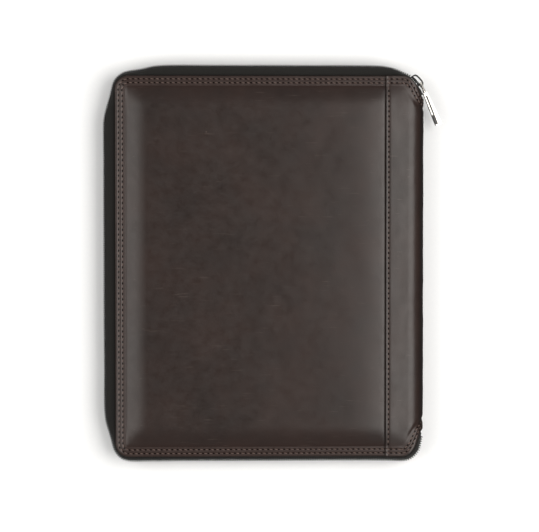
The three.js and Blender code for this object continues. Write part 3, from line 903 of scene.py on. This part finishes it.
def zip_stations():
    """Stations round the zip from the upper notch.

    Each is (edge x, edge y, out x, out y, zip x, zip y, tape edge share).
    """
    stations = []

    def add(edge, out, line, rise=1.0):
        stations.append((*edge, *out.normalized(), *line, rise))

    def bulged(x, y, out_x, out_y, bulge, rise=1.0):
        out = Vector((out_x, out_y)).normalized()
        add((x, y), out, Vector((x, y)) + out * bulge * GUSSET_BULGE, rise)

    def corner(first, middle, bulges):
        for step, bulge in enumerate(bulges):
            angle = first + (step + 1) * math.pi / 8
            out_x, out_y = math.cos(angle), math.sin(angle)
            bulged(LEFT + CORNER + CORNER * out_x, middle + CORNER * out_y, out_x, out_y, bulge)

    for notch, along, inward, rise in SLIDER_STATIONS:
        line = SLIDER_MIDDLE + SLIDER_ALONG * along * SLIDER_LENGTH - SLIDER_OUT * inward * GUSSET_BULGE
        add(notch_point(notch, True), SLIDER_OUT, line, rise)
    for along, bulge in TOP_BULGE:
        bulged(mix(NOTCH, LEFT + CORNER, along), TOP, 0, 1, bulge)
    corner(math.pi / 2, TOP - CORNER, TOP_CORNER_BULGE)
    for along, bulge in LEFT_BULGE:
        bulged(LEFT, mix(TOP - CORNER, BOTTOM + CORNER, along), -1, 0, bulge)
    corner(math.pi, BOTTOM + CORNER, BOTTOM_CORNER_BULGE)
    for along, bulge in BOTTOM_BULGE:
        bulged(mix(LEFT + CORNER, NOTCH, along), BOTTOM, 0, -1, bulge)
    for notch, bulge, rise in LOWER_NOTCH:
        edge, before, after = (notch_point(row, False) for row in (notch, notch - 1, notch + 1))
        bulged(edge.x, edge.y, before.y - after.y, after.x - before.x, bulge, rise)
    return stations


def smoothed(rows, step, measure):
    """Rows of numbers joined by a smooth curve and sampled about every step; measure picks a row's place."""
    places = [measure(row) for row in rows]
    lengths = [0.0]
    for a, b in zip(places, places[1:]):
        lengths.append(lengths[-1] + max((b - a).length, 1e-6))
    slopes = []
    for index in range(len(rows)):
        a, b = max(0, index - 1), min(len(rows) - 1, index + 1)
        slopes.append([(q - p) / (lengths[b] - lengths[a]) for p, q in zip(rows[a], rows[b])])
    samples = []
    for index in range(len(rows) - 1):
        span = lengths[index + 1] - lengths[index]
        count = max(1, round(span / step))
        for part in range(count):
            t = part / count
            samples.append([
                (2 * t**3 - 3 * t**2 + 1) * p + (t**3 - 2 * t**2 + t) * span * m
                + (3 * t**2 - 2 * t**3) * q + (t**3 - t**2) * span * n
                for p, q, m, n in zip(rows[index], rows[index + 1], slopes[index], slopes[index + 1])
            ])
    samples.append(list(rows[-1]))
    return samples


def zip_samples(step):
    return smoothed(zip_stations(), step, lambda row: Vector(row[4:6]))


def tape_line(sample, side):
    """Section of a tape from under the leather to behind the coil."""
    edge_x, edge_y, out_x, out_y, zip_x, zip_y, rise = sample
    under = leather_underside(edge_x, edge_y) - GAP - TAPE_MIDDLE
    end = (COIL_WIDTH / 2 + GAP) * rise + TAPE_MIDDLE
    flange = TAPE_FLANGE * (0.6 if edge_x > NOTCH + GAP else 1.0)
    out = Vector((out_x, out_y)).normalized()
    edge, line = Vector((edge_x, edge_y)), Vector((zip_x, zip_y)) - out * TAPE_BEND
    points = [(edge - out * flange, under), (edge - out * 0.6 * MM, under)]
    for outward, drop in ((0.28, 0.12), (0.55, 0.3), (0.8, 0.56), (0.96, 0.8), (1, 1)):
        points.append((edge.lerp(line, outward), min(under, mix(under, end, drop))))
    points.append((line - out * 0.35 * MM, mix(end, TAPE_HEM, 0.22)))
    points.append((line - out * COIL_DEPTH / 2, min(end, TAPE_HEM)))
    return [(*place, MID + side * height) for place, height in points]


class CASE_OT_gusset(bpy.types.Operator):
    """Make the two woven tapes of the zip"""

    bl_idname = "case.gusset"
    bl_label = "Zip tapes"

    def execute(self, context):
        settings = context.scene.case_zip
        samples = zip_samples(2.0 * MM)
        for name, side, node in (("tape_front", 1, "zip_tape_front"), ("tape_back", -1, "zip_tape_back")):
            lines = []
            for sample in samples:
                fine = smoothed(tape_line(sample, side), 1.1 * MM, Vector)
                last = (len(fine) - 1) / (TAPE_ROWS - 1)
                lines.append([Vector(fine[round(row * last)]) for row in range(TAPE_ROWS)])
            travelled = [0.0]
            for a, b in zip(lines, lines[1:]):
                travelled.append(travelled[-1] + (b[TAPE_ROWS // 2] - a[TAPE_ROWS // 2]).length)

            def place(column, row):
                point, first = lines[column][row], lines[column][0]
                return point, (0.0, 0.0), (travelled[column], (point - first).length)

            work = sheet(list(range(len(lines))), list(range(TAPE_ROWS)), place, flip=side < 0)
            piece = piece_from(work, name, shared(woven_polyester), replaced=(node,))
            thicken(piece, settings.tape_wall, offset=0.0)
        return {"FINISHED"}


def walked(points, pitch, start=0.0):
    """(point, direction) at every pitch along a list of points."""
    found = []
    travelled, due = 0.0, start
    for a, b in zip(points, points[1:]):
        span = (b - a).length
        while span > 0 and due <= travelled + span:
            found.append((a.lerp(b, (due - travelled) / span), (b - a).normalized()))
            due += pitch
        travelled += span
    return found


class CASE_OT_teeth(bpy.types.Operator):
    """Make the interlocked teeth of the coil"""

    bl_idname = "case.teeth"
    bl_label = "Zip teeth"

    def execute(self, context):
        settings = context.scene.case_zip
        line = [Vector(sample[4:6]) for sample in zip_samples(1.0 * MM)]
        first = next(i for i, point in enumerate(line) if (point - SLIDER_MIDDLE).dot(SLIDER_ALONG) < 0)
        line = line[first:-3]
        tooth = bmesh.new()
        size = Matrix.Diagonal((settings.tooth_pitch * 0.48, COIL_DEPTH * 1.2, COIL_WIDTH * 0.53, 1))
        bmesh.ops.create_cube(tooth, size=1.0, matrix=size)
        bmesh.ops.bevel(
            tooth, geom=tooth.edges[:], offset=0.34 * MM, affect="EDGES", segments=1, profile=0.5,
            material=-1,
        )
        places = []
        for start, side, outward in TOOTH_ROWS:
            for point, along in walked(line, settings.tooth_pitch, settings.tooth_pitch * start):
                inward = Vector((-along.y, along.x))
                middle = point - inward * outward
                turned = Matrix((
                    (along.x, inward.x, 0, middle.x), (along.y, inward.y, 0, middle.y),
                    (0, 0, 1, MID + side * TOOTH_RISE), (0, 0, 0, 1),
                ))
                places.append(turned @ Matrix.Rotation(side * TOOTH_SLANT, 4, "Y"))
        piece_from(
            repeated(tooth, places), "coil_teeth", shared(nylon_monofilament),
            replaced=("zip_coil",),
        )
        return {"FINISHED"}


def offset_line(line, distance):
    """A flat line moved to its left by the distance, with its corners eased."""
    moved = []
    for index, point in enumerate(line):
        before = line[max(0, index - 1)]
        after = line[min(len(line) - 1, index + 1)]
        along = (after - before).normalized()
        moved.append(point + Vector((-along.y, along.x)) * distance)
    return moved


def cover_row(distance):
    """Points of a stitch row on a cover, from the seam over the top, left and bottom borders to the seam."""
    radius = CORNER - distance
    points = [Vector((SEAM - ROW_END, TOP - distance)), Vector((LEFT + CORNER, TOP - distance))]
    for first, middle, steps in (
        (math.pi / 2, TOP - CORNER, range(1, 9)), (math.pi, BOTTOM + CORNER, range(9)),
    ):
        for step in steps:
            angle = first + step * math.pi / 16
            points.append(Vector((
                LEFT + CORNER + radius * math.cos(angle), middle + radius * math.sin(angle),
            )))
    points.append(Vector((SEAM - ROW_END, BOTTOM + distance)))
    return points


def strip_row(distance, line, upper):
    """Points (run, y) of a stitch row along the strip's cut end, from the front seam to the back seam."""
    half = [point for point, _ in walked([Vector(point) for point in line], 0.5 * MM)]
    whole = half + [Vector((2 * STRIP_HALF - point.x, point.y)) for point in reversed(half)]
    row = offset_line(whole, -distance if upper else distance)
    # where the moved line folds over itself, its points lie too near the cut end and are left out
    kept = [point for point in row if strip_distance(folded_run(point.x), point.y) > distance * 0.93]
    return [point for point in kept if ROW_CLEAR < point.x < 2 * STRIP_HALF - ROW_CLEAR]


def on_cover(side):
    def surface(point):
        base = cover_point(point.x, point.y, side)
        right = cover_point(point.x + PROBE, point.y, side) - base
        ahead = cover_point(point.x, point.y + PROBE, side) - base
        return base, right.cross(ahead).normalized() * side
    return surface


def on_strip(point):
    base = strip_point(point.x, point.y, strip_relief(point.x, point.y))
    right = strip_point(point.x + PROBE, point.y) - strip_point(point.x, point.y)
    ahead = strip_point(point.x, point.y + PROBE) - strip_point(point.x, point.y)
    return base, right.cross(ahead).normalized()


def row_places(row, pitch, surface, slant):
    """Places of the threads and of the needle holes along one row."""
    settings = bpy.context.scene.case_stitches
    threads, holes = [], []
    for point, along in walked(row, pitch, pitch * ROW_START):
        base, up = surface(point)
        tip, _ = surface(point + along * 0.5 * MM)
        ahead = (tip - base).normalized()
        side = up.cross(ahead).normalized()
        ahead = side.cross(up)
        turned = Matrix.Rotation(slant, 4, up) @ Matrix((
            (ahead.x, side.x, up.x, 0), (ahead.y, side.y, up.y, 0), (ahead.z, side.z, up.z, 0), (0, 0, 0, 1),
        ))
        threads.append(Matrix.Translation(base + up * settings.thread * THREAD_LIFT) @ turned)
        # place of the needle hole's disc of painted shade, half a pitch on
        hole_base, hole_up = surface(point + along * pitch * 0.5)
        holes.append(Matrix.Translation(hole_base + hole_up * HOLE_LIFT) @ turned)
    return threads, holes


class CASE_OT_stitching(bpy.types.Operator):
    """Sew the border rows and the seam rows"""

    bl_idname = "case.stitching"
    bl_label = "Stitching"

    def execute(self, context):
        settings = context.scene.case_stitches
        rows = (settings.outer_row, settings.inner_row)
        for name, side in (("front", 1), ("back", -1)):
            self.sew(name, [
                row_places(cover_row(distance), settings.border_pitch, on_cover(side), STITCH_SLANT * side)
                for distance in rows
            ])
        sewn = [
            row_places(strip_row(distance, line, upper), settings.border_pitch, on_strip, STITCH_SLANT)
            for distance in rows for line, upper in ((UPPER_END, True), (LOWER_END, False))
        ]
        low, high = BOTTOM + 1.5 * settings.inner_row, TOP - 1.5 * settings.inner_row
        for run in (settings.seam_row, 2 * STRIP_HALF - settings.seam_row):
            seam = [Vector((run, high)), Vector((run, low))]
            sewn.append(row_places(seam, settings.seam_pitch, on_strip, 0.0))
        self.sew("spine", sewn)
        return {"FINISHED"}

    def sew(self, name, rows):
        settings = bpy.context.scene.case_stitches
        thread = bmesh.new()
        size = Matrix.Diagonal(
            (settings.border_pitch * 0.33, settings.thread * 0.5, settings.thread * 0.42, 1)
        )
        bmesh.ops.create_uvsphere(thread, u_segments=8, v_segments=5, radius=1.0, matrix=size)
        # each needle hole is a near-black disc of painted shade laid on the leather
        hole = bmesh.new()
        size = Matrix.Diagonal((*HOLE_HALF, 1, 1))
        bmesh.ops.create_circle(hole, cap_ends=True, segments=10, radius=1.0, matrix=size)
        threads = repeated(thread, [place for row, _ in rows for place in row])
        holes = repeated(hole, [place for _, row in rows for place in row])
        piece_from(threads, "threads_" + name, shared(waxed_thread))
        # the discs of painted shade for the needle holes
        piece_from(holes, "holes_" + name, shared(hole_shade_disc))


class CASE_OT_metal(bpy.types.Operator):
    """Finish the slider in lacquer and its pull tab in nickel, with black plates of painted shade in the
    pull's slot and on its end
    """

    bl_idname = "case.metal"
    bl_label = "Slider and pull"

    def execute(self, context):
        settings = context.scene.case_metal
        lacquer, nickel = shared(lacquer_and_painted_shade), shared(polished_nickel)
        for node, name, body, material, slot in (
            ("slider_body", "slider", "case", lacquer, "lacquer"),
            ("pull_tab", "pull", "pull", nickel, "nickel"),
        ):
            work = bmesh.new()
            work.from_mesh(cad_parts[node].data)
            bmesh.ops.remove_doubles(work, verts=work.verts, dist=1e-6)
            bmesh.ops.dissolve_limit(work, angle_limit=math.radians(1), verts=work.verts, edges=work.edges)
            piece = piece_from(work, name, material, replaced=(node,), body=body)
            rounding = piece.modifiers.new("Cast edges", "BEVEL")
            rounding.width = settings.edge
            rounding.segments = 3
            rounding.limit_method = "ANGLE"
            rounding.angle_limit = math.radians(28)
            piece.modifiers.new("Flat faces", "WEIGHTED_NORMAL").keep_sharp = True
        # black plates in the pull's slot and on the side of its end block paint the shade that falls there
        shade_plates = bmesh.new()
        tab = Matrix.Translation((*PULL_PIN, MID)) @ Matrix.Rotation(PULL_TURN, 4, "Z")
        tab = tab @ Matrix.Rotation(PULL_LEAN, 4, "X")
        for row in PULL_SHADE_PLATES:
            along, across, up, long, wide, deep = (value * MM for value in row)
            place = tab @ Matrix.Translation((along, across, up)) @ Matrix.Rotation(PULL_TAPER, 4, "Z")
            bmesh.ops.create_cube(shade_plates, size=1.0, matrix=place @ Matrix.Diagonal((long, wide, deep, 1)))
        shade_plate = piece_from(shade_plates, "pull_inlay", lacquer, body="pull")
        soft = shade_plate.modifiers.new("Soft edges", "BEVEL")
        soft.width = 0.06 * MM
        soft.segments = 2
        shade_plate.modifiers.new("Flat faces", "WEIGHTED_NORMAL").keep_sharp = True
        return {"FINISHED"}


class CASE_OT_stage(bpy.types.Operator):
    """Set the floor, the soft lights and the camera"""

    bl_idname = "case.stage"
    bl_label = "Stage"

    def execute(self, context):
        settings = context.scene.case_stage
        work = bmesh.new()
        place = Matrix.Translation((0, 0, -FLOOR_GAP))
        bmesh.ops.create_grid(work, x_segments=1, y_segments=1, size=FLOOR_HALF, matrix=place)
        mesh = bpy.data.meshes.new("floor")
        work.to_mesh(mesh)
        work.free()
        mesh.materials.append(shared(matt_paper))
        floor = bpy.data.objects.new("floor", mesh)
        context.collection.objects.link(floor)
        floor.visible_glossy = False

        world = bpy.data.worlds.new("studio")
        world.use_nodes = True
        tree = world.node_tree
        direction = add_node(tree, "ShaderNodeTexCoord").outputs["Generated"]
        up = add_node(tree, "ShaderNodeSeparateXYZ", {"Vector": direction}).outputs["Z"]
        # the room brightens upwards, and a dim card hangs straight above the case
        room = add_node(
            tree, "ShaderNodeMapRange",
            {"Value": up, "From Min": 0, "From Max": 0.6, "To Min": 0.12, "To Max": 0.36},
        )
        card = add_node(
            tree, "ShaderNodeMapRange",
            {"Value": up, "From Min": 0.95, "From Max": 0.985, "To Min": 1, "To Max": 0.4},
        )
        strength = add_node(
            tree, "ShaderNodeMath", {0: room.outputs["Result"], 1: card.outputs["Result"]},
            operation="MULTIPLY",
        )
        tree.links.new(strength.outputs["Value"], tree.nodes["Background"].inputs["Strength"])
        tree.nodes["Background"].inputs["Color"].default_value = (1, 1, 1, 1)
        context.scene.world = world

        for row in SOFTBOXES:
            self.softbox(*row)

        camera_data = bpy.data.cameras.new("camera")
        camera_data.lens = settings.lens
        camera_data.sensor_width = 36
        camera_data.shift_x = (FRAME[0] / 2 - AXIS[0]) / FRAME[0]
        camera_data.shift_y = (AXIS[1] - FRAME[1] / 2) / FRAME[0]
        camera = bpy.data.objects.new("camera", camera_data)
        context.collection.objects.link(camera)
        turn, tilt = settings.turn, settings.tilt
        back = Vector((-math.sin(turn) * math.cos(tilt), math.sin(tilt), math.cos(turn) * math.cos(tilt)))
        right = Vector((math.cos(turn), 0, math.sin(turn)))
        up = back.cross(right)
        centre = Vector((0, 0, MID)) + back * settings.distance
        camera.matrix_world = Matrix((
            (right.x, up.x, back.x, centre.x), (right.y, up.y, back.y, centre.y),
            (right.z, up.z, back.z, centre.z), (0, 0, 0, 1),
        ))
        context.scene.camera = camera
        context.scene.view_settings.view_transform = "Standard"
        return {"FINISHED"}

    def softbox(self, name, lean, radiance, size, swing):
        """A light leaning from straight above towards the right, and swung towards the top edge."""
        light = bpy.data.lights.new("softbox_" + name, "AREA")
        light.shape = "RECTANGLE"
        light.size, light.size_y = size
        light.energy = radiance * math.pi * size[0] * size[1]
        light.color = (1, 0.97, 0.93)
        box = bpy.data.objects.new("softbox_" + name, light)
        bpy.context.collection.objects.link(box)
        turn = Matrix.Rotation(math.radians(swing), 4, "Z") @ Matrix.Rotation(math.radians(lean), 4, "Y")
        box.matrix_world = turn @ Matrix.Translation((0, 0, SOFTBOX_DISTANCE))
        box.visible_camera = False


SETTINGS = {
    "case_leather": LeatherSettings,
    "case_stitches": StitchSettings,
    "case_zip": ZipSettings,
    "case_metal": MetalSettings,
    "case_stage": StageSettings,
}
STEPS = (
    CASE_OT_covers,
    CASE_OT_spine,
    CASE_OT_gusset,
    CASE_OT_teeth,
    CASE_OT_stitching,
    CASE_OT_metal,
    CASE_OT_stage,
)


class CASE_PT_parts(bpy.types.Panel):
    """Lists the steps and their sizes"""

    bl_idname = "CASE_PT_parts"
    bl_label = "Document case"
    bl_space_type = "VIEW_3D"
    bl_region_type = "UI"
    bl_category = "Case"

    def draw(self, context):
        for step in STEPS:
            self.layout.operator(step.bl_idname)
        for name, group in SETTINGS.items():
            box = self.layout.box()
            for key in group.__annotations__:
                box.prop(getattr(context.scene, name), key)


def register():
    for kind in (*SETTINGS.values(), *STEPS, CASE_PT_parts):
        bpy.utils.register_class(kind)
    for name, group in SETTINGS.items():
        setattr(bpy.types.Scene, name, bpy.props.PointerProperty(type=group))


def unregister():
    for name in SETTINGS:
        delattr(bpy.types.Scene, name)
    for kind in reversed((*SETTINGS.values(), *STEPS, CASE_PT_parts)):
        bpy.utils.unregister_class(kind)


def main():
    register()
    bpy.ops.case.stage()
    bpy.ops.case.covers()
    bpy.ops.case.spine()
    bpy.ops.case.gusset()
    bpy.ops.case.teeth()
    bpy.ops.case.stitching()
    bpy.ops.case.metal()


if __name__ == "__main__":
    main()
